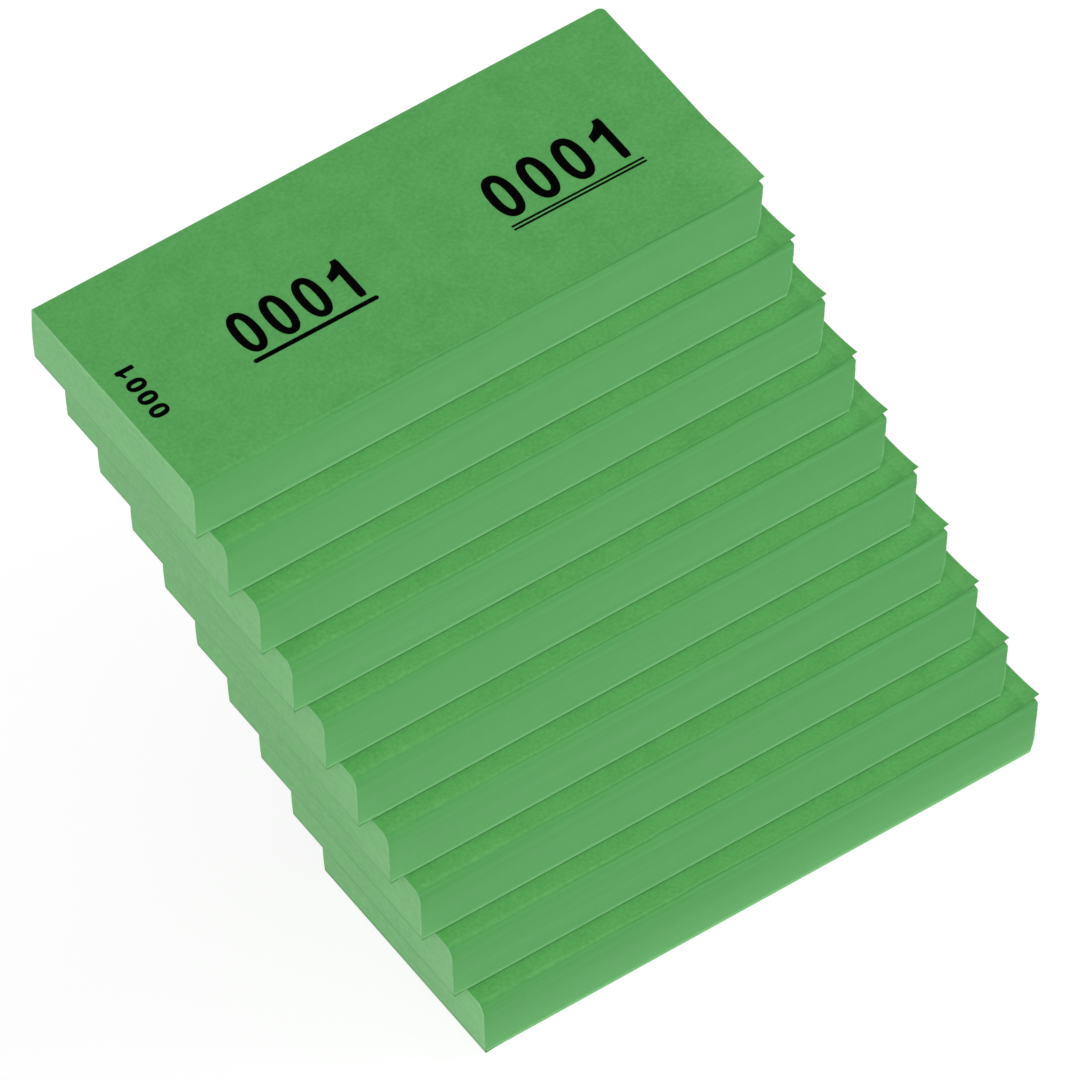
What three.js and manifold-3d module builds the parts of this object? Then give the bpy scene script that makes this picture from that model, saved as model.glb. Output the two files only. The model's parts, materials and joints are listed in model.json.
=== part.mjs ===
// Cloakroom ticket books: ten glued books of perforated numbered leaves, stacked in steps so that
// each lower book stands forward and to the free end of the one above it.
// Millimetres, +Z up. In each book X runs from the glued stub end to the free end, Y from the
// front edge to the back edge, and Z from the back card's underside to the top leaf.

import * as THREE from 'three';
import { mergeGeometries, mergeVertices } from 'three/addons/utils/BufferGeometryUtils.js';
import Module from 'manifold-3d';

// Leaf
const leafLength = 118;
const leafDepth = 50;
const leafThickness = 0.12;
const leavesPerBook = 100;
const backCornerRadius = 1.2; // the free end's rear corner is rounded off

// Back card, and the clear space between faces that lie on each other
const cardThickness = 0.5;
const faceClearance = 0.03;

// Perforations: one beside the stub, one between the two equal tickets
const stubLength = 9.7;
const slitPitch = 4.2;
const tieLength = 1.0; // paper left between two slits
const slitWidth = 0.5;
const partingGap = 0.1; // the tie's break line

// Front edge of the pile, rolled over by the knife: the roll reaches back from the front face and
// drops towards it, most at the stub and least at the free end
const rollDepthAtStub = 2.2;
const rollDepthAtFreeEnd = 0.6;
const rollDropAtStub = 3.5;
const rollDropAtFreeEnd = 0.5;

// Front edge of the top leaf, which stands back from the front face in a shallow bow
const setbackAtStub = 0.9;
const setbackAtFreeEnd = 0.85;
const setbackBow = 0.1;

// Front corner of the top leaf's free end, which curls up
const curlAlongFront = 10;
const curlAlongFreeEnd = 10;
const tipLift = 1.4;

// Free end of the pile: the top leaf stands past it, the knife undercut it, and its front corner
// is slightly rounded
const leafOverhang = 0.5;
const undercut = 1.2;
const pileCornerRadius = 0.3;

// Padding glue brushed over the stub end, thickest halfway up
const glueAtEdges = 0.12;
const glueAtMiddle = 0.35;

// Stack
const bookCount = 10;
const stepRight = 2.8; // towards the free end
const stepForward = 4.9; // towards the front
const restGap = 0.1; // between a book and the one it lies on

// Stations where the curved surfaces are worked out
const spanAlongBook = 22;
const spansAlongCurl = 2;
const spansAlongEnd = 2;
const cornerSegments = 3;

// Worked out from the values above
const ticketLength = (leafLength - stubLength) / 2;
const pileLength = leafLength - leafOverhang;
const pileBottom = cardThickness + faceClearance;
const pileTop = pileBottom + (leavesPerBook - 1) * leafThickness;
const bookHeight = pileTop + faceClearance + leafThickness;
const bookPitch = bookHeight + restGap;
const clearDepth = stepForward - 2 * restGap; // the part of a leaf ahead of the book above
const clearEnd = stepRight - 2 * restGap; // the part of a leaf past that book's free end
const margin = 1; // how far a cutting solid stands clear of what it cuts

const wasm = await Module();
wasm.setup();

// Colours
const colours = {
  leafPaper: { color: 0x58a058, roughness: 0.85, metalness: 0 },
  cutEdges: { color: 0x62a864, roughness: 0.9, metalness: 0 },
  backCard: { color: 0x6cb16e, roughness: 0.9, metalness: 0 },
  paddingGlue: { color: 0x80b980, roughness: 0.6, metalness: 0 },
};
const materials = Object.fromEntries(
  Object.entries(colours).map(([name, look]) => [name, new THREE.MeshStandardMaterial(look)]),
);

// Closed mesh to solid, for joining and cutting
function solidOf(geometry) {
  geometry.deleteAttribute('normal');
  geometry.deleteAttribute('uv');
  const merged = mergeVertices(geometry, 1e-4);
  return new wasm.Manifold(
    new wasm.Mesh({
      numProp: 3,
      vertProperties: Float32Array.from(merged.attributes.position.array),
      triVerts: Uint32Array.from(merged.index.array),
    }),
  );
}

// Solid back to a mesh
function geometryOf(solid) {
  const mesh = solid.getMesh();
  const geometry = new THREE.BufferGeometry();
  geometry.setAttribute('position', new THREE.BufferAttribute(mesh.vertProperties, 3));
  geometry.setIndex(new THREE.BufferAttribute(mesh.triVerts, 1));
  geometry.computeVertexNormals();
  return geometry;
}

// Even stations between two places, both ends included
function spread(from, to, spans) {
  return Array.from({ length: spans + 1 }, (_, i) => from + ((to - from) * i) / spans);
}

// A size that changes in a straight line from the stub to the free end, plus a bow between them
function alongBook(x, atStub, atFreeEnd, bow = 0) {
  const share = THREE.MathUtils.clamp(x / leafLength, 0, 1);
  return THREE.MathUtils.lerp(atStub, atFreeEnd, share) + bow * Math.sin(Math.PI * share);
}

const rollDepth = (x) => alongBook(x, rollDepthAtStub, rollDepthAtFreeEnd);
const rollDrop = (x) => alongBook(x, rollDropAtStub, rollDropAtFreeEnd);
const leafFront = (x) => alongBook(x, setbackAtStub, setbackAtFreeEnd, setbackBow);

// How far the rolled surface lies under the flat top: a quarter of an ellipse in Y and Z
function rollAt(x, y) {
  const share = THREE.MathUtils.clamp(1 - y / rollDepth(x), 0, 1);
  return rollDrop(x) * (1 - Math.sqrt(1 - share * share));
}

// How far the top leaf's corner stands up. It falls in smooth curves along the free end, and across
// a width that narrows from the front edge to the part past the book above.
function curlAt(x, y) {
  const share = THREE.MathUtils.clamp(1 - y / curlAlongFreeEnd, 0, 1);
  const widening = THREE.MathUtils.clamp(1 - y / clearDepth, 0, 1);
  const width = THREE.MathUtils.lerp(clearEnd, curlAlongFront, widening);
  const across = Math.max(0, 1 - (leafLength - x) / width);
  return tipLift * share ** 1.8 * across ** 2;
}

// Stations across the book at x: close together on the roll and the curl, none on the flat
function crossStations(x) {
  const roll = rollDepth(x);
  const onRoll = [0, 0.04, 0.17, 0.4, 0.68, 1].map((share) => share * roll);
  const onCurl = [0.4, 1].map((share) => THREE.MathUtils.lerp(clearDepth, curlAlongFreeEnd, share));
  return [-margin, ...onRoll, (roll + clearDepth) / 2, clearDepth, ...onCurl, leafDepth + margin];
}

// Closed solid between two surfaces given as heights over the book's plan
function surfaceSolid(lowerAt, upperAt) {
  const curlStart = leafLength - curlAlongFront;
  const endStart = leafLength - clearEnd;
  const columns = [
    -glueAtMiddle - margin,
    ...spread(0, curlStart, Math.ceil(curlStart / spanAlongBook)),
    ...spread(curlStart, endStart, spansAlongCurl).slice(1),
    ...spread(endStart, leafLength, spansAlongEnd).slice(1),
    leafLength + margin,
  ];
  const stations = columns.map(crossStations);
  const rows = stations[0].length;
  const layer = columns.length * rows;
  const positions = [];
  for (const heightAt of [lowerAt, upperAt]) {
    columns.forEach((x, i) => stations[i].forEach((y) => positions.push(x, y, heightAt(x, y))));
  }

  const index = [];
  const quad = (a, b, c, d) => index.push(a, b, c, a, c, d);
  for (let i = 0; i + 1 < columns.length; i++) {
    for (let j = 0; j + 1 < rows; j++) {
      const a = i * rows + j;
      const b = a + rows;
      quad(layer + a, layer + b, layer + b + 1, layer + a + 1);
      quad(a, a + 1, b + 1, b);
    }
    const front = i * rows;
    const back = front + rows - 1;
    quad(front, front + rows, layer + front + rows, layer + front);
    quad(back + rows, back, layer + back, layer + back + rows);
  }
  const freeEnd = layer - rows;
  for (let j = 0; j + 1 < rows; j++) {
    quad(j + 1, j, layer + j, layer + j + 1);
    quad(freeEnd + j, freeEnd + j + 1, layer + freeEnd + j + 1, layer + freeEnd + j);
  }

  const geometry = new THREE.BufferGeometry();
  geometry.setAttribute('position', new THREE.Float32BufferAttribute(positions, 3));
  geometry.setIndex(index);
  return solidOf(geometry);
}

// Upright prism over a plan outline
function prism(shape, bottom, top) {
  const geometry = new THREE.ExtrudeGeometry(shape, {
    depth: top - bottom,
    bevelEnabled: false,
    curveSegments: cornerSegments,
  });
  return geometry.translate(0, 0, bottom);
}

// Draws a prism's free end in towards the bottom of the book, as the knife left it
function undercutFreeEnd(geometry) {
  const position = geometry.attributes.position;
  for (let i = 0; i < position.count; i++) {
    const depthShare = 1 - position.getZ(i) / bookHeight;
    const x = position.getX(i);
    position.setX(i, x - (undercut * depthShare * x) / pileLength);
  }
  return geometry;
}

// Plan of the pile and the back card: rounded at both corners of the free end
function pileOutline() {
  const shape = new THREE.Shape();
  shape.moveTo(0, 0);
  shape.lineTo(pileLength - pileCornerRadius, 0);
  shape.absarc(pileLength - pileCornerRadius, pileCornerRadius, pileCornerRadius, -Math.PI / 2, 0);
  shape.absarc(pileLength - backCornerRadius, leafDepth - backCornerRadius, backCornerRadius, 0, Math.PI / 2);
  shape.lineTo(0, leafDepth);
  return shape;
}

// Plan of one part of the top leaf between two places along the book
function leafOutline(from, to) {
  const shape = new THREE.Shape();
  const stations = spread(from, to, Math.ceil((to - from) / spanAlongBook));
  shape.setFromPoints(stations.map((x) => new THREE.Vector2(x, leafFront(x))));
  if (to === leafLength) {
    shape.absarc(to - backCornerRadius, leafDepth - backCornerRadius, backCornerRadius, 0, Math.PI / 2);
  } else {
    shape.lineTo(to, leafDepth);
  }
  shape.lineTo(from, leafDepth);
  return shape;
}

// Row of slits across the leaf at x
function perforation(x) {
  const slitCount = Math.floor(leafDepth / slitPitch);
  const firstSlit = (leafDepth - slitPitch * (slitCount - 1)) / 2;
  const slits = Array.from({ length: slitCount }, (_, i) =>
    new THREE.BoxGeometry(slitWidth, slitPitch - tieLength, 2 * bookHeight).translate(
      x,
      firstSlit + i * slitPitch,
      bookHeight,
    ),
  );
  return solidOf(mergeGeometries(slits));
}

// Sub-parts of one book
function makeBackCard() {
  return geometryOf(solidOf(undercutFreeEnd(prism(pileOutline(), 0, cardThickness))));
}

function makeLeafPile() {
  const underTopLeaf = surfaceSolid(
    () => -margin,
    (x, y) => pileTop - rollAt(x, y),
  );
  const block = solidOf(undercutFreeEnd(prism(pileOutline(), pileBottom, bookHeight)));
  return geometryOf(block.intersect(underTopLeaf));
}

function makeGlueFilm() {
  const section = new THREE.Shape();
  section.moveTo(-faceClearance, 0);
  section.lineTo(-faceClearance, bookHeight + margin);
  section.lineTo(-glueAtEdges, bookHeight + margin);
  section.lineTo(-glueAtEdges, bookHeight);
  section.quadraticCurveTo(glueAtEdges - 2 * glueAtMiddle, bookHeight / 2, -glueAtEdges, 0);
  const film = prism(section, 0, leafDepth).rotateX(Math.PI / 2).translate(0, leafDepth, 0);
  const underTop = surfaceSolid(
    () => -margin,
    (x, y) => bookHeight - rollAt(x, y),
  );
  return geometryOf(solidOf(film).intersect(underTop));
}

// The top leaf's three parts: the stub, and the two tickets that tear off along the perforations
function makeTopLeaf() {
  const upper = (x, y) => bookHeight - rollAt(x, y) + curlAt(x, y);
  const sheet = surfaceSolid((x, y) => upper(x, y) - leafThickness, upper);
  const perforations = [stubLength, stubLength + ticketLength].map(perforation);
  const slits = perforations[0].add(perforations[1]);
  const part = (from, to) => {
    const die = solidOf(prism(leafOutline(from, to), 0, 2 * bookHeight));
    return geometryOf(sheet.intersect(die).subtract(slits));
  };
  const half = partingGap / 2;
  const middle = stubLength + ticketLength;
  return {
    stub: part(0, stubLength - half),
    inner_ticket: part(stubLength + half, middle - half),
    outer_ticket: part(middle + half, leafLength),
  };
}

const bookParts = [
  ['back_card', makeBackCard(), materials.backCard],
  ['leaf_pile', makeLeafPile(), materials.cutEdges],
  ['glue_film', makeGlueFilm(), materials.paddingGlue],
  ...Object.entries(makeTopLeaf()).map(([name, geometry]) => [name, geometry, materials.leafPaper]),
];

// One book, numbered from the top of the stack
function makeBook(number) {
  const book = new THREE.Group();
  for (const [name, geometry, material] of bookParts) {
    const mesh = new THREE.Mesh(geometry, material);
    mesh.name = `${name}_${String(number).padStart(2, '0')}`;
    book.add(mesh);
  }
  return book;
}

// Stack, with its origin at the middle of its bounding box's base
const stack = new THREE.Group();
for (let number = 1; number <= bookCount; number++) {
  const below = number - 1;
  const book = makeBook(number);
  book.position.set(below * stepRight, -below * stepForward, (bookCount - number) * bookPitch);
  stack.add(book);
}
const box = new THREE.Box3().setFromObject(stack);
const centre = box.getCenter(new THREE.Vector3());
stack.position.set(-centre.x, -centre.y, -box.min.z);

export default stack;
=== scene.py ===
"""Ten cloakroom ticket books in a stepped stack: papers, cut edges, padding glue, cards and
printed numbers."""

import json
import math

import bpy
import numpy as np
from mathutils import Matrix, Vector


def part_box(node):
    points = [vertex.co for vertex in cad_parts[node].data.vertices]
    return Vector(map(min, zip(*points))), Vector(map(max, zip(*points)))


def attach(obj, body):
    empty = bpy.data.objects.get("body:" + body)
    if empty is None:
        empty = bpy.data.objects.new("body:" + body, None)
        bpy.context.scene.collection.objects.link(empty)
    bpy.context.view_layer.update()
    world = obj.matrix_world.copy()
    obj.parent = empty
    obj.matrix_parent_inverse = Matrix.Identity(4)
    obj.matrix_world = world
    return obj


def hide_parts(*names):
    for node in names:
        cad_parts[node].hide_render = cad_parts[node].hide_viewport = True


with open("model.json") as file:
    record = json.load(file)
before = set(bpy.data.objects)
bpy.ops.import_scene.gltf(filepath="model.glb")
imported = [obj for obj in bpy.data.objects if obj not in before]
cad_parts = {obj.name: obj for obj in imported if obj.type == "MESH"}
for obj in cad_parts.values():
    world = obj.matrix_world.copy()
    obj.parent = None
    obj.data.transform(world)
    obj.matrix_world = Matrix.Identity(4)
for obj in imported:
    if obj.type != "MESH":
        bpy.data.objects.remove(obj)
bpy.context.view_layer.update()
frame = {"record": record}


# Sizes of one book in millimetres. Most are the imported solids' own. The rolled front edge, the
# leaf's place over it and its curl are fitted to the photograph.
LEAF_LENGTH = 118.0
LEAF_DEPTH = 50.0
LEAF_THICKNESS = 0.12
LEAVES_IN_PILE = 99
CARD_THICKNESS = 0.5
FACE_CLEARANCE = 0.03
PILE_LENGTH = 117.5
PILE_BOTTOM = CARD_THICKNESS + FACE_CLEARANCE
PILE_TOP = PILE_BOTTOM + LEAVES_IN_PILE * LEAF_THICKNESS
BOOK_HEIGHT = PILE_TOP + FACE_CLEARANCE + LEAF_THICKNESS
STUB_LENGTH = 9.7
TICKET_LENGTH = (LEAF_LENGTH - STUB_LENGTH) / 2
FIRST_PERFORATION = STUB_LENGTH
SECOND_PERFORATION = STUB_LENGTH + TICKET_LENGTH
PERFORATIONS = (FIRST_PERFORATION, SECOND_PERFORATION)
FREE_END_CORNER = 1.2
PILE_CORNER = 0.3
UNDERCUT = 1.2
LOWEST_ROUNDING = 0.8

# At the stub and at the free end
ROLL_DEPTH = (2.0, 0.6)
ROLL_DROP = (3.2, 0.5)
LEAF_SETBACK = (0.9, 0.55)
EDGE_LIFT = (0.2, 0.135)
EDGE_LIFT_REACH = 3.0

# The curled corner of a top leaf, and the strip that the book above leaves clear of it
CURL_ALONG_FRONT = 10.0
CURL_ALONG_FREE_END = 18.0
NARROWEST_CURL = 3.0
COVERED_CURL_LENGTH = 10.0
CLEAR_DEPTH = 4.7
CLEAR_END = 4.2
TIP_LIFT = 1.4

# Padding glue, and its brush waves: the length and the height of each
GLUE_AT_EDGES = 0.12
GLUE_AT_MIDDLE = 0.35
BRUSH_WAVES = ((21, 0.012), (9.5, 0.008), (4.3, 0.005), (2.1, 0.003), (27, 0.014), (13, 0.008))

# The perforation is a row of knife cuts that have closed again, with short ties between them
CUT_PITCH = 1.4
CUT_LENGTH = 1.05
CUT_OPENING = 0.014
TIE_OPENING = 0.004
LIP_HEIGHT = 0.012
LIP_DISTANCE = 0.4
BESIDE_A_CUT = np.array([0, 0.1, 0.2, 0.3, 0.4, 0.55, 0.8, 1.15])
UNDER_A_CUT = np.array([-0.35, -0.15, 0, 0.15, 0.35])

# Rows of points up the sides
PILE_ROWS = 66
CARD_ROWS = 8

BOOKS = range(1, 11)


def spread(value, none, full):
    """A straight line from 0 at none to 1 at full, cut off there."""
    return np.clip((value - none) / (full - none), 0, 1)


def soft_step(share):
    """From 0 to 1 with level ends: three times the square less twice the cube."""
    return share * share * (3 - 2 * share)


def along_book(x, at_stub, at_free_end, bow=0.0):
    """A straight-line change from the stub to the free end, plus half a sine wave of bow between them."""
    share = np.clip(x / LEAF_LENGTH, 0, 1)
    return at_stub + (at_free_end - at_stub) * share + bow * np.sin(np.pi * share)


def roll_depth(x):
    """How far back the rolled front edge begins, in a straight line along the book."""
    return along_book(x, *ROLL_DEPTH)


def roll_drop(x):
    """How far down the rolled front edge ends, in a straight line along the book."""
    return along_book(x, *ROLL_DROP)


def leaf_front(x):
    """Front edge of the top leaf, set back from the front face in a shallow bow with two faint waves."""
    waves = 0.05 * np.sin(x / 3.7 + 1) + 0.03 * np.sin(x / 1.5 + 2)
    return along_book(x, *LEAF_SETBACK, bow=0.1) + waves


def roll_at(x, y):
    """Depth of the rolled front edge under the flat top: a quarter of an ellipse in y and z."""
    share = np.clip(1 - y / roll_depth(x), 0, 1)
    return roll_drop(x) * (1 - np.sqrt(1 - share**2))


def curl_at(x, y, covered):
    """Lift of the top leaf's front corner: a quarter of a sine wave along the free end, and a parabola
    across a width that narrows with y. On a covered book the lift falls faster, as a power, and its
    width narrows at once to the strip past the end of the book above."""
    if covered:
        along = spread(y, COVERED_CURL_LENGTH, 0) ** 1.7
        width = CLEAR_END + (CURL_ALONG_FRONT - CLEAR_END) * spread(y, CLEAR_DEPTH, 0)
    else:
        share = spread(y, CURL_ALONG_FREE_END, 0)
        along = np.sin(np.pi / 2 * share)
        width = NARROWEST_CURL + (CURL_ALONG_FRONT - NARROWEST_CURL) * share
    return TIP_LIFT * along * np.clip(1 - (LEAF_LENGTH - x) / width, 0, 1) ** 2


def edge_lift_at(x, y):
    """Lift of the top leaf's front edge off the pile: it grows from a tenth to four tenths of the
    book's length, and is held down at the second perforation, both as soft steps. It falls as a
    parabola to nothing at its reach behind the edge."""
    grown = spread(x / LEAF_LENGTH, 0.1, 0.4)
    held = spread(np.abs(x - SECOND_PERFORATION), 0, 1.5)
    rise = along_book(x, *EDGE_LIFT) * soft_step(grown) * soft_step(held)
    return rise * spread(y - leaf_front(x), EDGE_LIFT_REACH, 0) ** 2


def corner_inset(x, end, radius):
    """How far a rounded corner of that radius draws an edge in near x = end: a quarter of a circle."""
    past = np.clip(x - (end - radius), 0, radius)
    return radius - np.sqrt(radius**2 - past**2)


def eased(count, low, high):
    """Stations from low to high, closer together at the high end: a quarter of a cosine wave."""
    return low + (high - low) * np.sin(np.linspace(0, np.pi / 2, count))


def merged(*groups):
    """All stations in order, without any two closer than two microns."""
    stations = np.unique(np.concatenate([np.atleast_1d(np.asarray(g, float)) for g in groups]))
    keep = np.concatenate([[True], np.diff(stations) > 0.002])
    return stations[keep]


def mesh_piece(name, points, quads):
    """Object from an array of points in millimetres and an array of four-sided faces, shaded smooth
    apart from edges over 35 degrees."""
    mesh = bpy.data.meshes.new(name)
    mesh.vertices.add(len(points))
    mesh.vertices.foreach_set("co", (points * 0.001).astype(np.float32).ravel())
    mesh.loops.add(quads.size)
    mesh.loops.foreach_set("vertex_index", quads.astype(np.int32).ravel())
    mesh.polygons.add(len(quads))
    mesh.polygons.foreach_set("loop_start", np.arange(0, quads.size, 4, dtype=np.int32))
    mesh.update(calc_edges=True)
    mesh.polygons.foreach_set("use_smooth", np.ones(len(quads), bool))
    mesh.set_sharp_from_angle(angle=math.radians(35))
    piece = bpy.data.objects.new(name, mesh)
    bpy.context.scene.collection.objects.link(piece)
    return piece


def give_shares(piece, name, share):
    """Stores a number from 0 to 1 at each point, for a finish to read."""
    layer = piece.data.attributes.new(name, "FLOAT", "POINT")
    layer.data.foreach_set("value", np.clip(share, 0, 1).astype(np.float32))


def nearness_to_rim(points):
    """1 at the upper and front rims of the stub end, falling in a bell curve 0.5 mm wide, or in a
    straight line from 0.6 at the front to nothing 18 mm back, where that is more."""
    height = BOOK_HEIGHT - roll_at(np.zeros(len(points)), points[:, 1]) - points[:, 2]
    bell = np.exp(-((np.minimum(height, points[:, 1] + 0.02) / 0.5) ** 2))
    return np.maximum(bell, 0.6 * (1 - points[:, 1] / 18))


def painted_light_share(points, covered):
    """Share of painted light on a top leaf, up to 1: on the strips that the book above leaves clear, along
    the front and the free end, against the shade that falls there beside the book above, with soft borders
    in straight lines, and less on the front's roll. The top book has most of it on its curled corner,
    against the shade of the curl."""
    x, y = points[:, 0], points[:, 1]
    front = spread(y, 8, 5.5) * spread(y, 0.6, 2.2) * spread(x, 0, 12)
    if covered:
        end = spread(x, LEAF_LENGTH - 3.4, LEAF_LENGTH - 2.7)
        return np.maximum(0.35 * front, end * np.clip((12 - y) / 4, 0.4, 1))
    curled = spread(x, LEAF_LENGTH - CURL_ALONG_FRONT, LEAF_LENGTH) * spread(y, CURL_ALONG_FREE_END, 0)
    return np.maximum(0.06 * front, 1.5 * curled)


def length_in_book(points):
    """0 at the stub end and 1 at the free end, however far that is drawn in at the point's height."""
    return points[:, 0] / (PILE_LENGTH - drawn_in(points[:, 2]))


def height_on_roll(points):
    """0 at the bottom of the pile's rolled front edge and under it, rising to 1 where the top is flat."""
    return (points[:, 2] - PILE_TOP) / roll_drop(points[:, 0]) + 1


def grid_faces(number):
    """Four-sided faces between neighbours in a grid of point numbers."""
    a, b, c, d = number[:-1, :-1], number[1:, :-1], number[1:, 1:], number[:-1, 1:]
    return np.stack([a, b, c, d], -1).reshape(-1, 4)


def slab(x, share, front, back, lower, upper, rows=1, wall=None):
    """Closed sheet or block over a plan. At each station x, y runs from front(x) to back(x) in the
    given shares. The two faces are the heights lower(x, y) and upper(x, y) over that plan. The walls
    join the rims in straight rows, each point moved out by wall(x, y, height share)."""
    y_front, y_back = front(x), back(x)
    X = np.repeat(x[:, None], len(share), 1)
    Y = y_front[:, None] + (y_back - y_front)[:, None] * share[None, :]
    nx, ny = X.shape
    faces = [np.stack([X, Y, height(X, Y)], -1).reshape(-1, 3) for height in (lower, upper)]
    number = np.arange(nx * ny).reshape(nx, ny)
    up = grid_faces(number)
    rim = np.concatenate([number[:, 0], number[-1, 1:], number[-2::-1, -1], number[0, -2:0:-1]])
    low, high = faces[0][rim], faces[1][rim]
    step = np.roll(low, -1, 0) - np.roll(low, 1, 0)
    outward = np.stack([step[:, 1], -step[:, 0]], -1)
    outward /= np.linalg.norm(outward, axis=1, keepdims=True) + 1e-12
    levels = np.linspace(0, 1, rows + 1)
    all_rings = [low + (high - low) * level for level in levels]
    if wall is not None:
        for ring, level in zip(all_rings, levels):
            ring[:, :2] += outward * wall(ring[:, 0], ring[:, 1], level)[:, None]
    faces[0][rim], faces[1][rim] = all_rings[0], all_rings[-1]
    between = all_rings[1:-1]
    start = 2 * nx * ny
    rings_between = [start + k * len(rim) + np.arange(len(rim)) for k in range(len(between))]
    rings = [rim, *rings_between, rim + nx * ny]
    sides = [np.stack([r, np.roll(r, -1), np.roll(s, -1), s], -1) for r, s in zip(rings[:-1], rings[1:])]
    points = np.concatenate(faces + between)
    quads = np.concatenate([up[:, ::-1], up + nx * ny] + sides)
    return points, quads


def drawn_in(z):
    """How far the free end lies in from its top, at height z: a straight line down that rounds inwards,
    as a seventh power, over the lowest leaves and the card."""
    down = 1 - z / BOOK_HEIGHT
    return UNDERCUT * down + LOWEST_ROUNDING * down**7


def undercut(points):
    """Points of a book's plan, drawn in at their height in proportion to their length."""
    drawn = points.copy()
    drawn[:, 0] -= drawn_in(points[:, 2]) * points[:, 0] / PILE_LENGTH
    return drawn


CUTS = int(LEAF_DEPTH / CUT_PITCH)
FIRST_CUT = (LEAF_DEPTH - CUT_PITCH * (CUTS - 1)) / 2


def cut_marks(y):
    """1 inside the perforation's cuts and 0 on its ties."""
    place = np.abs((y - FIRST_CUT + CUT_PITCH / 2) % CUT_PITCH - CUT_PITCH / 2)
    return (place < CUT_LENGTH / 2 - 1e-6).astype(float)


def cut_stations():
    """The ends of every cut, each as a pair of stations 0.02 mm apart, so that a cut ends sharply."""
    middles = FIRST_CUT + CUT_PITCH * np.arange(CUTS)
    half = CUT_LENGTH / 2
    return np.concatenate([middles - half, middles - half + 0.02, middles + half - 0.02, middles + half])


def lip_at(x, y):
    """The paper's raised lips on both sides of the cuts: the square of the distance from the perforation
    times a bell curve, so that the sheet's edge itself stays level and folds without catching."""
    rise = np.zeros_like(x)
    for line in PERFORATIONS:
        away = ((x - line) / LIP_DISTANCE) ** 2
        rise += away * np.exp(1 - away)
    return LIP_HEIGHT * rise * (0.25 + 0.75 * cut_marks(y))


def leaf_part(first, last, covered):
    """One part of the top leaf, from x = first to x = last: a sheet of the paper's thickness that
    follows the roll, the curl and the lifted front edge, with cuts and ties at its perforations."""
    torn = [line for line in (first, last) if line in PERFORATIONS]
    near = [line + side * BESIDE_A_CUT for line in torn for side in (-1, 1)]
    stations = merged(np.linspace(first, last, 2 + int((last - first) / 2.5)), *near)
    setback = LEAF_SETBACK[0]
    on_curl = []
    if last == LEAF_LENGTH:
        corner = eased(9, last - FREE_END_CORNER, last)
        end = np.linspace(last - CLEAR_END, last, 12)
        stations = merged(stations, np.linspace(last - CURL_ALONG_FRONT, last, 20), end, corner)
        on_curl = np.linspace(CLEAR_DEPTH, CURL_ALONG_FREE_END + 1, 16)
    stations = stations[(stations >= first) & (stations <= last)]
    on_roll = np.array([0, 0.1, 0.25, 0.45, 0.7, 1.0, 1.4, 1.9, 2.5, 3.2, 4.0, 4.7])
    y_places = merged(on_roll + setback, on_curl, cut_stations(), [LEAF_DEPTH - 0.3])
    share = merged((y_places[y_places > setback] - setback) / (LEAF_DEPTH - setback), [0.0, 1.0])

    def back(x):
        inset = corner_inset(x, LEAF_LENGTH, FREE_END_CORNER) if last == LEAF_LENGTH else 0 * x
        return LEAF_DEPTH - inset

    def upper(x, y):
        return BOOK_HEIGHT - roll_at(x, y) + curl_at(x, y, covered) + edge_lift_at(x, y) + lip_at(x, y)

    def lower(x, y):
        return upper(x, y) - LEAF_THICKNESS

    points, quads = slab(stations, share, leaf_front, back, lower, upper, rows=2)
    for line in torn:
        inwards = 1 if line == first else -1
        on_edge = np.abs(points[:, 0] - line) < 1e-6
        cut = cut_marks(points[on_edge, 1])
        points[on_edge, 0] += inwards * (TIE_OPENING + (CUT_OPENING - TIE_OPENING) * cut) / 2
    return points, quads


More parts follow.
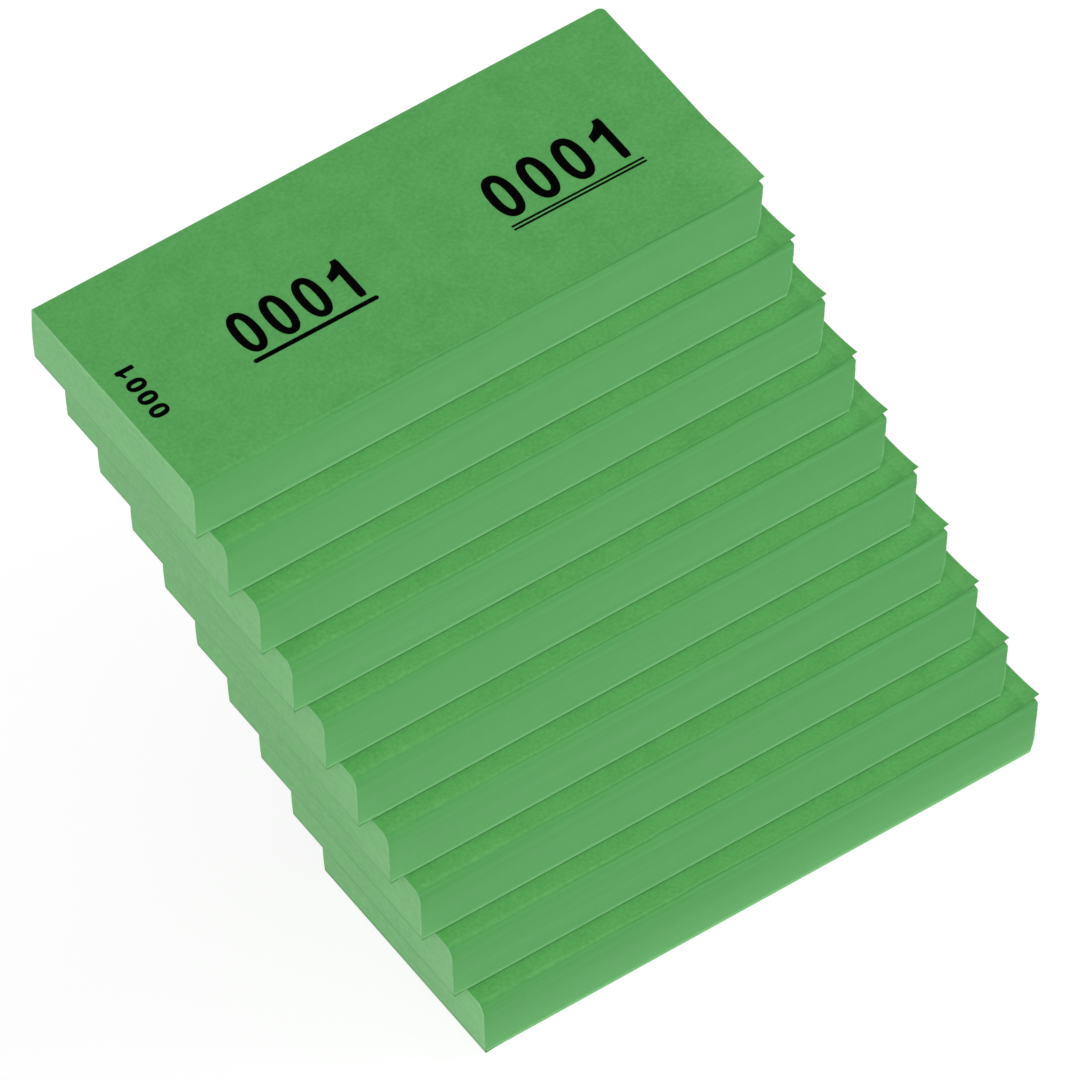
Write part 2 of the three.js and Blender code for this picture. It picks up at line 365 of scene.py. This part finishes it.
def leaf_pile(rng, covered):
    """The 99 leaves under the top leaf: a block whose upper face is the second leaf, rolled over at the
    front. Under the curled corner the upper leaves rise with the top leaf, a step behind its edge. The
    cut sides show the leaves as uneven rows: each row stands out or back by its own amount, changing
    slowly along the side, and the free end is wavy and bulges halfway up."""
    own = rng.normal(0, 1, PILE_ROWS + 1)
    drift = np.convolve(rng.normal(0, 1, PILE_ROWS + 9), np.ones(9) / 3, "valid")
    phase = rng.random((PILE_ROWS + 1, 2)) * 2 * np.pi

    def wall(x, y, level):
        row = int(round(level * PILE_ROWS))
        past_glue = spread(x, 0, 3)
        from_corner = np.clip(np.minimum(y, LEAF_DEPTH - y) / 2, 0.3, 1)
        free_end = spread(x, PILE_LENGTH - 1.5, PILE_LENGTH - 0.5) * from_corner
        along = np.sin(x / 9 + y / 7 + phase[row, 0]) + 0.6 * np.sin(x / 3.1 + y / 2.7 + phase[row, 1])
        side = 0.004 * own[row] + 0.006 * drift[row] * (1 + 0.4 * along) + 0.004 * along
        bulge = 0.12 * math.sin(math.pi * level) + 0.05 * math.sin(61 * level + phase[0, 0])
        end = 0.03 * own[row] + 0.04 * drift[row] + bulge
        return past_glue * (side - 0.02 + free_end * end)

    x = merged(
        np.linspace(0, PILE_LENGTH - 10, 72),
        np.linspace(PILE_LENGTH - 10, PILE_LENGTH, 21),
        eased(9, PILE_LENGTH - FREE_END_CORNER, PILE_LENGTH),
        *[line + UNDER_A_CUT for line in PERFORATIONS],
    )
    quarter = 1 - np.cos(np.linspace(0, np.pi / 2, 12))
    at_leaf_edge = np.linspace(0.5, 1.4, 10) / LEAF_DEPTH
    on_curl = np.linspace(2.2, CURL_ALONG_FREE_END, 16) / LEAF_DEPTH
    share = merged(ROLL_DEPTH[0] / LEAF_DEPTH * quarter, at_leaf_edge, on_curl, np.linspace(0.36, 1, 22))

    def front(x):
        return corner_inset(x, PILE_LENGTH, PILE_CORNER)

    def back(x):
        return LEAF_DEPTH - corner_inset(x, PILE_LENGTH, FREE_END_CORNER)

    def upper(x, y):
        inside = spread(y - leaf_front(x), 0, 0.3) * spread(x, PILE_LENGTH - 0.3, PILE_LENGTH - 1.5)
        return PILE_TOP - roll_at(x, y) + 0.5 * lip_at(x, y) + 0.92 * curl_at(x, y, covered) * inside

    def lower(x, y):
        return PILE_BOTTOM + 0 * x

    points, quads = slab(x, share, front, back, lower, upper, PILE_ROWS, wall)
    return undercut(points), quads


def back_card():
    """The stiff card under the leaves: a flat sheet with the book's plan. The knife leaves the upper
    part of its edge standing 0.04 mm out and draws the lower part in, by 0.3 mm at the bottom."""
    x = merged(np.linspace(0, PILE_LENGTH, 30), eased(9, PILE_LENGTH - FREE_END_CORNER, PILE_LENGTH))

    def wall(x, y, level):
        return (0.04 - 0.34 * max(1 - level / 0.6, 0) ** 1.5) * spread(x, 2.2, 3.7)

    points, quads = slab(
        x,
        np.linspace(0, 1, 14),
        lambda x: corner_inset(x, PILE_LENGTH, PILE_CORNER),
        lambda x: LEAF_DEPTH - corner_inset(x, PILE_LENGTH, FREE_END_CORNER),
        lambda x, y: 0 * x,
        lambda x, y: CARD_THICKNESS + 0 * x,
        CARD_ROWS,
        wall,
    )
    return undercut(points), quads


def glue_film(rng):
    """Padding glue over the stub end. Its thickness is a parabola up the book, thickest halfway, and
    thins out at the card, with brush waves along the book's depth. Its front rim follows the rolled
    edge of the leaves."""
    height = merged(
        np.linspace(0, BOOK_HEIGHT, 50),
        BOOK_HEIGHT - 3.5 * (1 - np.sin(np.linspace(0, np.pi / 2, 14))),
        [0.08, 0.16, 0.3, 0.45, 0.6, 0.8, BOOK_HEIGHT - 0.5, BOOK_HEIGHT - 0.35, BOOK_HEIGHT - 0.15],
    )

    def front(z):
        drop = roll_drop(0.0)
        level = np.clip(1 - (BOOK_HEIGHT - z) / drop, 0, 1)
        return roll_depth(0.0) * (1 - np.sqrt(1 - level**2))

    starts = rng.random(len(BRUSH_WAVES))

    def upper(z, y):
        swell = 4 * (z / BOOK_HEIGHT) * (1 - z / BOOK_HEIGHT)
        body = GLUE_AT_EDGES + (GLUE_AT_MIDDLE - GLUE_AT_EDGES) * swell
        brush = sum(
            np.sin(2 * np.pi * (y / length + z / (6 * length) + start)) * size
            for (length, size), start in zip(BRUSH_WAVES, starts)
        )
        thinned = (body - FACE_CLEARANCE) * (1 - 0.75 * spread(z, 0.4, 0) ** 2) + FACE_CLEARANCE
        return thinned + brush * np.clip(np.minimum(z, BOOK_HEIGHT - z) / 1.5, 0.15, 1)

    share = merged(np.linspace(0, 0.02, 8), np.linspace(0.02, 1, 80))
    points, quads = slab(
        height,
        share,
        front,
        lambda z: LEAF_DEPTH + 0 * z,
        lambda z, y: FACE_CLEARANCE + 0 * z,
        upper,
    )
    return np.stack([-points[:, 2], points[:, 1], points[:, 0]], -1), quads


# Printed numbers. A mark is a pair of lines, its left and right edges, in a box one unit wide and high.


def bow(centre, radii, start, end, count=28, power=2.3):
    """Part of a squared-off ellipse: the cosine and sine of the angle, raised to 2 / power."""
    angle = np.radians(np.linspace(start, end, count))
    c, s = np.cos(angle), np.sin(angle)
    flat = np.stack([np.sign(c) * np.abs(c) ** (2 / power), np.sign(s) * np.abs(s) ** (2 / power)], -1)
    return np.array(centre) + flat * np.array(radii)


def ring(width, height, side, cap):
    """The figure 0: the band between an outer and an inner squared-off ellipse."""
    middle = (width / 2, height / 2)
    outer = bow(middle, (width / 2, height / 2), 0, 360, 73)
    inner = bow(middle, (width / 2 - side, height / 2 - cap), 0, 360, 73)
    return [(outer[:-1], inner[:-1], True)]


def figure_one(width, height, stem):
    """The figure 1: an upright band at the right, and a flag that sweeps down to the left."""
    upright = np.linspace(0, height, 12)
    ease = 0.12 * stem * np.clip(1 - np.minimum(upright, height - upright) / (0.12 * stem), 0, 1)
    trunk = (np.stack([width - ease, upright], -1), np.stack([width - stem + ease, upright], -1), False)
    share = np.linspace(0, 1, 12)[:, None]

    def sweep(first, last, sag):
        edge = np.array(first) * (1 - share) + np.array(last) * share
        edge[:, 1] -= sag * height * np.sin(np.pi * share[:, 0])
        return edge

    upper = sweep((width - 0.55 * stem, height), (0, 0.745 * height), 0.035)
    lower = sweep((width - 0.2 * stem - 0.02 * width, 0.735 * height), (0, 0.575 * height), 0.02)
    return [trunk, (lower, upper, False)]


def stroke(path, width):
    """A band of even width along a path: each edge is the path moved half the width to one side."""
    step = np.gradient(path, axis=0)
    side = np.stack([step[:, 1], -step[:, 0]], -1)
    side /= np.linalg.norm(side, axis=1, keepdims=True)
    return (path + side * width / 2, path - side * width / 2, False)


def straight(*corners):
    """Straight paths from corner to corner."""
    corners = np.array(corners, float)
    share = np.linspace(0, 1, 6)[:, None]
    return [a + (b - a) * share for a, b in zip(corners[:-1], corners[1:])]


def figure(digit, width, height, side, cap):
    """Any figure, drawn inside a box with one pen: bows and straight runs of the stroke's width."""
    if digit == "0":
        return ring(width, height, side, cap)
    if digit == "1":
        return figure_one(0.72 * width, height, side)
    pen = (side + cap) / 2
    left, right, low, top = side / 2, width - side / 2, cap / 2, height - cap / 2
    middle, half = (left + right) / 2, (right - left) / 2
    waist = 0.52 * height
    upper, lower = (top - waist) / 2, (waist - low) / 2
    paths = {
        "2": [
            bow((middle, top - 0.3 * height), (half, 0.3 * height), 170, -35),
            *straight((right - 0.12 * half, 0.5 * height), (left, low)),
            *straight((left - side / 2, low), (right + side / 2, low)),
        ],
        "3": [
            bow((middle, waist + upper), (half, upper), 160, -90),
            bow((middle, low + lower), (half, lower), 90, -160),
        ],
        "4": [
            *straight((0.72 * width, 0), (0.72 * width, height)),
            *straight((0.72 * width, top), (left, 0.3 * height)),
            *straight((left - side / 2, 0.3 * height), (width, 0.3 * height)),
        ],
        "5": [
            *straight((width, top), (left, top)),
            *straight((left, top + cap / 2), (left, 0.55 * height)),
            bow((middle, low + 0.29 * height), (half, 0.29 * height), 140, -165),
        ],
        "6": [
            bow((middle, low + 0.27 * height), (half, 0.27 * height), 0, 360, 60),
            bow((right, 0.36 * height), (2 * half, top - 0.36 * height), 180, 95),
        ],
        "7": [
            *straight((0, top), (width, top)),
            *straight((right, top), (0.36 * width, 0)),
        ],
        "8": [
            bow((middle, waist + upper), (0.92 * half, upper), 0, 360, 60),
            bow((middle, low + lower), (half, lower), 0, 360, 60),
        ],
        "9": [
            bow((middle, top - 0.27 * height), (half, 0.27 * height), 0, 360, 60),
            bow((left, 0.64 * height), (2 * half, 0.64 * height - low), 0, -85),
        ],
    }
    return [stroke(path, pen) for path in paths[digit]]


def number_marks(text, width, height, side, cap, pitch):
    """A row of figures at an even pitch, the figure 1 standing at the right of its place."""
    marks = []
    for place, digit in enumerate(text):
        shift = place * pitch + (0.085 * width if digit == "1" else 0)
        for a, b, closed in figure(digit, width, height, side, cap):
            marks.append((a + (shift, 0), b + (shift, 0), closed))
    return marks


def rule(first, last, y, thickness, slope):
    """An underline with round ends: its half width is a half circle near each end."""
    reach = thickness / 2
    inwards = reach * (1 - np.cos(np.linspace(0, np.pi / 2, 8)))
    x = merged(first + inwards, last - inwards)
    past = np.clip(1 - np.minimum(x - first, last - x) / reach, 0, 1)
    half = np.maximum(reach * np.sqrt(1 - past**2), 0.01)
    middle = y + slope * (x - first)
    return (np.stack([x, middle - half], -1), np.stack([x, middle + half], -1), False)


def placed(marks, x, y, turned=False):
    """Marks moved to (x, y); turned ones run from front to back with their tops to the stub end."""
    moved = []
    for a, b, closed in marks:
        if turned:
            a, b = (np.stack([-edge[:, 1], edge[:, 0]], -1) for edge in (a, b))
        moved.append((a + (x, y), b + (x, y), closed))
    return moved


def stub_number(text):
    """Small number across the stub."""
    marks = number_marks(text, width=2.85, height=3.7, side=1.02, cap=0.78, pitch=3.5)
    return placed(marks, 7.02, 17.05, turned=True)


def inner_number(text):
    """Large number with one thick rule under it."""
    marks = number_marks(text, width=5.03, height=9.87, side=1.6, cap=1.5, pitch=6.69)
    return placed(marks, 24.48, 19.38) + [rule(24.25, 49.77, 18.0, thickness=1.0, slope=-0.004)]


def outer_number(text):
    """Large number with two thin rules under it."""
    marks = number_marks(text, width=5.45, height=10.42, side=1.72, cap=1.72, pitch=7.22)
    rules = [rule(76.98, 104.48, y, thickness=0.46, slope=-0.006) for y in (17.48, 16.66)]
    return placed(marks, 77.08, 18.96) + rules


def printed(marks, surface):
    """Ink film of marks on a flat sheet: each band is closed into a flat ribbon a hundredth of a
    millimetre thick, and bands that cross differ by a micron in height."""
    points, quads, start = [], [], 0
    for layer, (right, left, closed) in enumerate(marks):
        low = surface + 0.001
        high = surface + 0.011 + 0.001 * (layer % 3)
        flat = [
            np.column_stack([edge, np.full(len(edge), z)])
            for edge, z in ((right, low), (right, high), (left, high), (left, low))
        ]
        count = len(right)
        number = start + np.arange(4 * count).reshape(4, count)
        if closed:
            number = np.concatenate([number, number[:, :1]], 1)
        for a, b in zip(number, np.roll(number, -1, 0)):
            quads.append(np.stack([a[:-1], a[1:], b[1:], b[:-1]], -1))
        if not closed:
            quads.append(number[::-1, -1][None, :])
            quads.append(number[:, 0][None, :])
        points.append(np.concatenate(flat))
        start += 4 * count
    return np.concatenate(points), np.concatenate(quads)


# Finishes


class Value:
    """A shader socket that carries a number. Sums with it add the Math nodes they need."""

    def __init__(self, nodes, socket):
        self.nodes, self.socket = nodes, socket

    def _math(self, operation, first, second):
        made = self.nodes.node("ShaderNodeMath", {"operation": operation}, {0: first, 1: second})
        return Value(self.nodes, made.outputs[0])

    def __add__(self, other):
        return self._math("ADD", self, other)

    def __sub__(self, other):
        return self._math("SUBTRACT", self, other)

    def __rsub__(self, other):
        return self._math("SUBTRACT", other, self)

    def __mul__(self, other):
        return self._math("MULTIPLY", self, other)

    __radd__, __rmul__ = __add__, __mul__

    def at_least(self, other):
        """The larger of the two."""
        return self._math("MAXIMUM", self, other)


class Nodes:
    """A node tree that is built node by node."""

    def __init__(self, tree):
        self.tree = tree
        self.tree.nodes.clear()

    def node(self, kind, settings=None, values=None):
        """Adds a node, makes its settings, then sets or links its sockets."""
        made = self.tree.nodes.new(kind)
        for name, setting in (settings or {}).items():
            setattr(made, name, setting)
        for name, value in (values or {}).items():
            if isinstance(value, Value):
                value = value.socket
            if isinstance(value, bpy.types.NodeSocket):
                self.tree.links.new(value, made.inputs[name])
            else:
                made.inputs[name].default_value = value
        return made

    def looked_at(self):
        """1 where the camera, a reflection or a view through glass looks, and 0 for all other light."""
        path = self.node("ShaderNodeLightPath").outputs
        camera = Value(self, path["Is Camera Ray"])
        glossy = Value(self, path["Is Glossy Ray"])
        return camera.at_least(glossy.at_least(path["Is Transmission Ray"]))


class Finish(Nodes):
    """A material, with the patterns that its colours are made of."""

    def __init__(self, name):
        self.material = bpy.data.materials.new(name)
        self.material.use_nodes = True
        super().__init__(self.material.node_tree)
        self.place = self.node("ShaderNodeTexCoord").outputs["Object"]

    def stored(self, name):
        """The number that give_shares stored under this name."""
        return Value(self, self.node("ShaderNodeAttribute", {"attribute_name": name}).outputs["Fac"])

    def grain(self, scale, stretch=(1, 1, 1), detail=2.0, roughness=0.5):
        """Uneven pattern from about 0.3 to 0.7, scale per metre, stretched by three factors."""
        turned = self.node("ShaderNodeMapping", None, {"Vector": self.place, "Scale": stretch})
        values = {"Vector": turned.outputs[0], "Scale": scale, "Detail": detail, "Roughness": roughness}
        return Value(self, self.node("ShaderNodeTexNoise", None, values).outputs[0])

    def spread(self, value, none=0.0, full=1.0):
        """A straight line from 0 at none to 1 at full, cut off there."""
        values = {0: value, 1: none, 2: full, 3: 0.0, 4: 1.0}
        return Value(self, self.node("ShaderNodeMapRange", {"clamp": True}, values).outputs[0])

    def blended(self, share, first, second):
        """Colour from first to second by share."""
        made = self.node("ShaderNodeMix", {"data_type": "RGBA"}, {0: share, 6: first, 7: second})
        return made.outputs[2]

    def surface(self, colour, roughness, specular, relief, strength, height):
        """Ends the material in one shader, with a bump of that height in metres from a relief pattern."""
        values = {"Strength": strength, "Distance": height, "Height": relief}
        dented = self.node("ShaderNodeBump", None, values)
        values = {
            "Base Color": colour,
            "Roughness": roughness,
            "Specular IOR Level": specular,
            "Normal": dented.outputs[0],
        }
        shader = self.node("ShaderNodeBsdfPrincipled", None, values)
        self.node("ShaderNodeOutputMaterial", None, {"Surface": shader.outputs[0]})
        return self.material


def ink(red, green, blue):
    """Colour from screen levels 0 to 255, turned into linear light."""
    level = np.array([red, green, blue]) / 255
    linear = np.where(level <= 0.04045, level / 12.92, ((level + 0.055) / 1.055) ** 2.4)
    return (*linear.tolist(), 1.0)


def leaf_paper():
    """Bright green uncoated paper: fine cloudy mottling, sparse darker fibres, and a soft tooth. Painted
    light makes it lighter on the strips that no book covers and on the top book's curled corner, and
    painted shade makes its rolled front edge darker."""
    finish = Finish("leaf_paper")
    fine = finish.grain(1500, detail=3, roughness=0.65)
    cloud = finish.grain(160, detail=2)
    tone = finish.spread(fine * 0.7 + cloud * 0.3, 0.33, 0.67)
    inner = finish.blended(tone, ink(76, 151, 76), ink(92, 167, 92))
    # Painted light: a lighter copy of the paper for the strips that the book above leaves clear and for the
    # top book's curled corner.
    painted_lighter = finish.blended(tone, ink(90, 164, 88), ink(106, 180, 104))
    paper = finish.blended(finish.stored("painted_light_share"), inner, painted_lighter)
    fibre = finish.spread(finish.grain(900, (1, 3.5, 1), 4, 0.7), 0.62, 0.74)
    flat = finish.blended(fibre * 0.35, paper, ink(76, 146, 77))
    # Painted shade: the paper darkens over its rolled front edge.
    rolled = finish.spread(finish.stored("height_in_book"), 0.995, 0.93)
    colour = finish.blended(rolled, flat, ink(79, 150, 80))
    tooth = finish.grain(6000, detail=3, roughness=0.6)
    return finish.surface(colour, 0.88, 0.25, tooth * 0.5 + fine, strength=0.35, height=0.00003)


def cut_edges():
    """Sides of the pile: the leaves' edges as fine rows and the knife's upright scratches across them. The
    tone is darker on the rolled top, where the paper's face shows and painted shade darkens it further, and
    is painted lighter down the face to the card, against the shade beside the book below. Painted
    highlights run along the rim at the card and along the free end."""
    finish = Finish("cut_edges")
    height = finish.stored("height_in_book")
    rows = finish.grain(100, (0.3, 0.3, 70), 3, 0.6)
    groups = finish.grain(100, (0.12, 0.12, 9), 2)
    scratches = finish.grain(100, (32, 32, 0.8), 2, 0.6)
    tone = finish.spread(rows * 0.5 + groups * 0.3 + scratches * 0.2, 0.36, 0.64)
    # Painted shade: a darker tone for the rolled top of the face.
    rolled = finish.blended(tone, ink(81, 153, 83), ink(88, 160, 90))
    upper = finish.blended(tone, ink(91, 162, 93), ink(97, 166, 99))
    # Painted light: the lower and bottom tones are lighter, against the shade on the face next to the book
    # below.
    lower = finish.blended(tone, ink(99, 169, 101), ink(105, 174, 107))
    bottom = finish.blended(tone, ink(106, 177, 109), ink(112, 182, 115))
    middle = finish.blended(finish.spread(height, 0.8, 0.35), upper, lower)
    sides = finish.blended(finish.spread(height, 0.35, 0.09), middle, bottom)
    # Painted highlight: a light rim at the foot of the face just above the card, and along the lower part
    # of the free end.
    at_card = finish.spread(height, 0.085, 0.06)
    at_free_end = finish.spread(finish.stored("length_in_book"), 0.9955, 0.9985)
    painted_rim_highlight = at_card + at_free_end * finish.spread(height, 0.7, 0.3)
    rimmed = finish.blended(finish.spread(painted_rim_highlight), sides, ink(128, 197, 130))
    colour = finish.blended(finish.spread(finish.stored("height_on_roll"), 0.05, 0.65), rimmed, rolled)
    return finish.surface(colour, 0.92, 0.2, rows + scratches * 0.4, strength=0.5, height=0.00004)


def card_board():
    """Back card: a paler green board with short fibres, duller where the glue has crept around it."""
    finish = Finish("back_card")
    fibre = finish.grain(1100, (1, 1, 2.5), 4, 0.7)
    cloud = finish.grain(90, detail=2)
    tone = finish.spread(fibre * 0.7 + cloud * 0.3, 0.35, 0.65)
    board = finish.blended(tone, ink(132, 200, 134), ink(146, 211, 148))
    glued = finish.spread(finish.stored("length_in_book"), 0.035, 0.012)
    colour = finish.blended(glued, board, ink(103, 172, 105))
    return finish.surface(colour, 0.93, 0.2, fibre, strength=0.4, height=0.00004)


def padding_glue():
    """Padding glue: a milky film over the leaves' edges, uneven where the brush left more of it, with the
    rows of leaves showing faintly through. The glue of the lowest books and half of the top book's glue is
    painted lighter, against the shade they stand in, and the foot of each glue face has painted shade."""
    finish = Finish("padding_glue")
    rows = finish.grain(100, (1, 0.25, 34), 2, 0.6)
    milk = finish.grain(100, (1, 7, 11), 3, 0.6)
    patches = finish.grain(100, (1, 0.9, 1.6), 2)
    tone = finish.spread(milk * 0.45 + patches * 0.4 + rows * 0.15, 0.38, 0.62)
    # Painted light: a lighter copy of the glue, given most to the lowest books, against the shade they
    # stand in.
    plain_glue = finish.blended(tone, ink(94, 163, 95), ink(114, 180, 114))
    painted_lit_glue = finish.blended(tone, ink(106, 175, 107), ink(124, 190, 125))
    film = finish.blended(finish.stored("glue_painted_light"), plain_glue, painted_lit_glue)
    height = finish.stored("height_in_book")
    streak = finish.spread(rows, 0.54, 0.66) * finish.spread(height, 0.45, 0.15)
    streaked = finish.blended(streak * 0.9, film, ink(98, 163, 100))
    rimmed = finish.blended(finish.stored("nearness_to_rim") * 0.4, streaked, ink(140, 199, 140))
    # Painted shade: the foot of the glue face darkens to a deeper green where the book below meets it.
    colour = finish.blended(finish.spread(height, 0.1, 0.05), rimmed, ink(95, 161, 97))
    gloss = finish.spread(patches, 0.3, 0.7) * 0.18 + 0.48
    return finish.surface(colour, gloss, 0.35, milk + rows * 0.6, strength=0.35, height=0.00005)


def printing_ink():
    """Black printing ink, a little thin in places, with a faint gloss."""
    finish = Finish("printing_ink")
    thin = finish.spread(finish.grain(2600, detail=3, roughness=0.6), 0.45, 0.75)
    colour = finish.blended(thin, (0.0002, 0.0003, 0.0002, 1), (0.001, 0.002, 0.001, 1))
    return finish.surface(colour, 0.85, 0.01, thin, strength=0.2, height=0.00001)


leaf_paper_finish = leaf_paper()
cut_edges_finish = cut_edges()
card_finish = card_board()
glue_finish = padding_glue()
ink_finish = printing_ink()

body_of = {node: body for body, nodes in frame["record"]["behaviour"]["bodies"].items() for node in nodes}


def origin_of(number):
    """Stub end, front face and card underside of a book, in millimetres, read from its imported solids."""
    pile_low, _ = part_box(f"leaf_pile_{number:02d}")
    card_low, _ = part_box(f"back_card_{number:02d}")
    return np.array([pile_low.x, pile_low.y, card_low.z]) * 1000


def glue_painted_light(number):
    """Share of painted light on a book's glue, against the shade that the lowest books stand in: half on
    the top book, and more and more from the eighth on.
    """
    return 0.5 if number == 1 else (number - 7.5) / 3


def dress(name, shape, finish, body, number, slot=None, node=None):
    """Makes a piece of a book, puts it at the book's place and fixes it to its body."""
    points, quads = shape
    piece = mesh_piece(name, points + origin_of(number), quads)
    give_shares(piece, "height_in_book", points[:, 2] / BOOK_HEIGHT)
    give_shares(piece, "length_in_book", length_in_book(points))
    if finish == glue_finish:
        give_shares(piece, "nearness_to_rim", nearness_to_rim(points))
        give_shares(piece, "glue_painted_light", np.full(len(points), glue_painted_light(number)))
    if finish == cut_edges_finish:
        give_shares(piece, "height_on_roll", height_on_roll(points))
    if finish == leaf_paper_finish:
        give_shares(piece, "painted_light_share", painted_light_share(points, number > 1))
    piece.data.materials.append(finish)
    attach(piece, body)
    if node:
        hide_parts(node)


for number in BOOKS:
    rng = np.random.default_rng(400 + number)
    covered = number > 1
    leaf_parts = {
        "stub": leaf_part(0.0, FIRST_PERFORATION, covered),
        "inner_ticket": leaf_part(FIRST_PERFORATION, SECOND_PERFORATION, covered),
        "outer_ticket": leaf_part(SECOND_PERFORATION, LEAF_LENGTH, covered),
    }
    label = f"{number:02d}"
    book = f"book_{label}"
    shapes = {
        "card": (back_card(), card_finish, "back_card", "back_card"),
        "leaves": (leaf_pile(rng, covered), cut_edges_finish, "cut_edges", "leaf_pile"),
        "glue": (glue_film(rng), glue_finish, "padding_glue", "glue_film"),
    }
    for part, (shape, finish, slot, node) in shapes.items():
        dress(f"{part}_{label}", shape, finish, book, number, slot, f"{node}_{label}")
    for part, shape in leaf_parts.items():
        node = f"{part}_{label}"
        dress(f"top_{part}_{label}", shape, leaf_paper_finish, body_of[node], number, "leaf_paper", node)
    text = f"{number - 1:02d}01"
    numbers = {
        "stub": stub_number(text),
        "inner_ticket": inner_number(text),
        "outer_ticket": outer_number(text),
    }
    for part, marks in numbers.items():
        body = body_of[f"{part}_{label}"]
        dress(f"number_on_{part}_{label}", printed(marks, BOOK_HEIGHT), ink_finish, body, number)

second_leaf = stub_number("0002") + inner_number("0002") + outer_number("0002")
dress("number_on_second_leaf", printed(second_leaf, PILE_TOP), ink_finish, "book_01", 1)

# Camera: a long lens from the front left, above, tilted by a small roll. Angles in degrees, from the
# front towards the right and up. Distances in millimetres.
AZIMUTH, ELEVATION, ROLL = -32.31, 50.15, -2.56
DISTANCE, SIDEWAYS, UPWARDS = 3469.0, 0.85, -2.42
FOCUS_IN_PIXELS = 20000.0
PICTURE_WIDTH = 1080.0

# Lamps: azimuth and elevation as the camera's, and power in watts. Distances and sizes in metres.
LAMPS = {
    "high_lamp": (-32, 60, 6.7),
    "left_lamp": (-80, 20, 12.1),
    "front_lamp": (20, 20, 8.9),
    "right_lamp": (80, 40, 17.9),
    "back_lamp": (-150, 15, 6.0),
}
LAMP_DISTANCE, LAMP_SIZE = 1.6, 1.2
MIDDLE_OF_STACK = Vector((0, 0, 0.06))
WHITE = (1, 1, 1, 1)


def direction(azimuth, elevation):
    """Unit vector from the stack towards a place that many degrees round to the right and up."""
    a, e = math.radians(azimuth), math.radians(elevation)
    return Vector((math.sin(a) * math.cos(e), -math.cos(a) * math.cos(e), math.sin(e)))


def aim_camera():
    """Camera that looks past the middle of the stack, its axes turned by the roll."""
    first, last = origin_of(1), origin_of(10)
    middle = Vector((first + last) / 2) + Vector((LEAF_LENGTH / 2, LEAF_DEPTH / 2, 0))
    back = direction(AZIMUTH, ELEVATION)
    roll = math.radians(ROLL)
    level = back.cross(Vector((0, 0, 1))).normalized() * -1
    upright = back.cross(level)
    right = math.cos(roll) * level + math.sin(roll) * upright
    up = -math.sin(roll) * level + math.cos(roll) * upright
    place = middle + back * DISTANCE - right * SIDEWAYS - up * UPWARDS
    lens = bpy.data.cameras.new("camera")
    lens.sensor_width = 36.0
    lens.lens = FOCUS_IN_PIXELS / PICTURE_WIDTH * lens.sensor_width
    lens.clip_start, lens.clip_end = 0.1, 20.0
    camera = bpy.data.objects.new("camera", lens)
    bpy.context.scene.collection.objects.link(camera)
    turn = Matrix((right, up, back)).transposed().to_4x4()
    camera.matrix_world = Matrix.Translation(place * 0.001) @ turn
    bpy.context.scene.camera = camera


def add_lamp(name, azimuth, elevation, power):
    """Square soft lamp that faces the stack's middle."""
    lamp = bpy.data.lights.new(name, "AREA")
    lamp.shape, lamp.size, lamp.energy = "SQUARE", LAMP_SIZE, power
    back = direction(azimuth, elevation)
    holder = bpy.data.objects.new(name, lamp)
    bpy.context.scene.collection.objects.link(holder)
    holder.location = MIDDLE_OF_STACK + back * LAMP_DISTANCE
    holder.rotation_mode = "QUATERNION"
    holder.rotation_quaternion = back.to_track_quat("Z", "Y")


def light_studio():
    """The lamps, in even pale surroundings that look plain white past the object."""
    world = bpy.data.worlds.new("studio")
    world.use_nodes = True
    nodes = Nodes(world.node_tree)
    soft = nodes.node("ShaderNodeBackground", None, {"Color": WHITE, "Strength": 0.08})
    plain = nodes.node("ShaderNodeBackground", None, {"Color": WHITE, "Strength": 1.0})
    values = {0: nodes.looked_at(), 1: soft.outputs[0], 2: plain.outputs[0]}
    choice = nodes.node("ShaderNodeMixShader", None, values)
    nodes.node("ShaderNodeOutputWorld", None, {"Surface": choice.outputs[0]})
    bpy.context.scene.world = world
    for name, (azimuth, elevation, power) in LAMPS.items():
        add_lamp(name, azimuth, elevation, power)


def lay_floor():
    """A wide level floor just under the stack: white where it is looked at, and a pale grey for the
    light that it sends back."""
    count = 24
    stations = np.linspace(-4000, 4000, count)
    X, Y = np.meshgrid(stations, stations, indexing="ij")
    points = np.stack([X, Y, 0 * X - 0.05], -1).reshape(-1, 3)
    number = np.arange(count * count).reshape(count, count)
    floor = mesh_piece("floor", points, grid_faces(number))
    finish = Finish("floor")
    seen = finish.looked_at()
    tone = finish.blended(seen, (0.8, 0.8, 0.8, 1), WHITE)
    shaded = finish.node("ShaderNodeBsdfDiffuse", None, {"Color": tone})
    white = finish.node("ShaderNodeEmission", None, {"Color": WHITE, "Strength": 1.06})
    values = {0: seen * 0.8, 1: shaded.outputs[0], 2: white.outputs[0]}
    both = finish.node("ShaderNodeMixShader", None, values)
    finish.node("ShaderNodeOutputMaterial", None, {"Surface": both.outputs[0]})
    floor.data.materials.append(finish.material)


aim_camera()
light_studio()
lay_floor()

bpy.context.scene.view_settings.view_transform = "Standard"
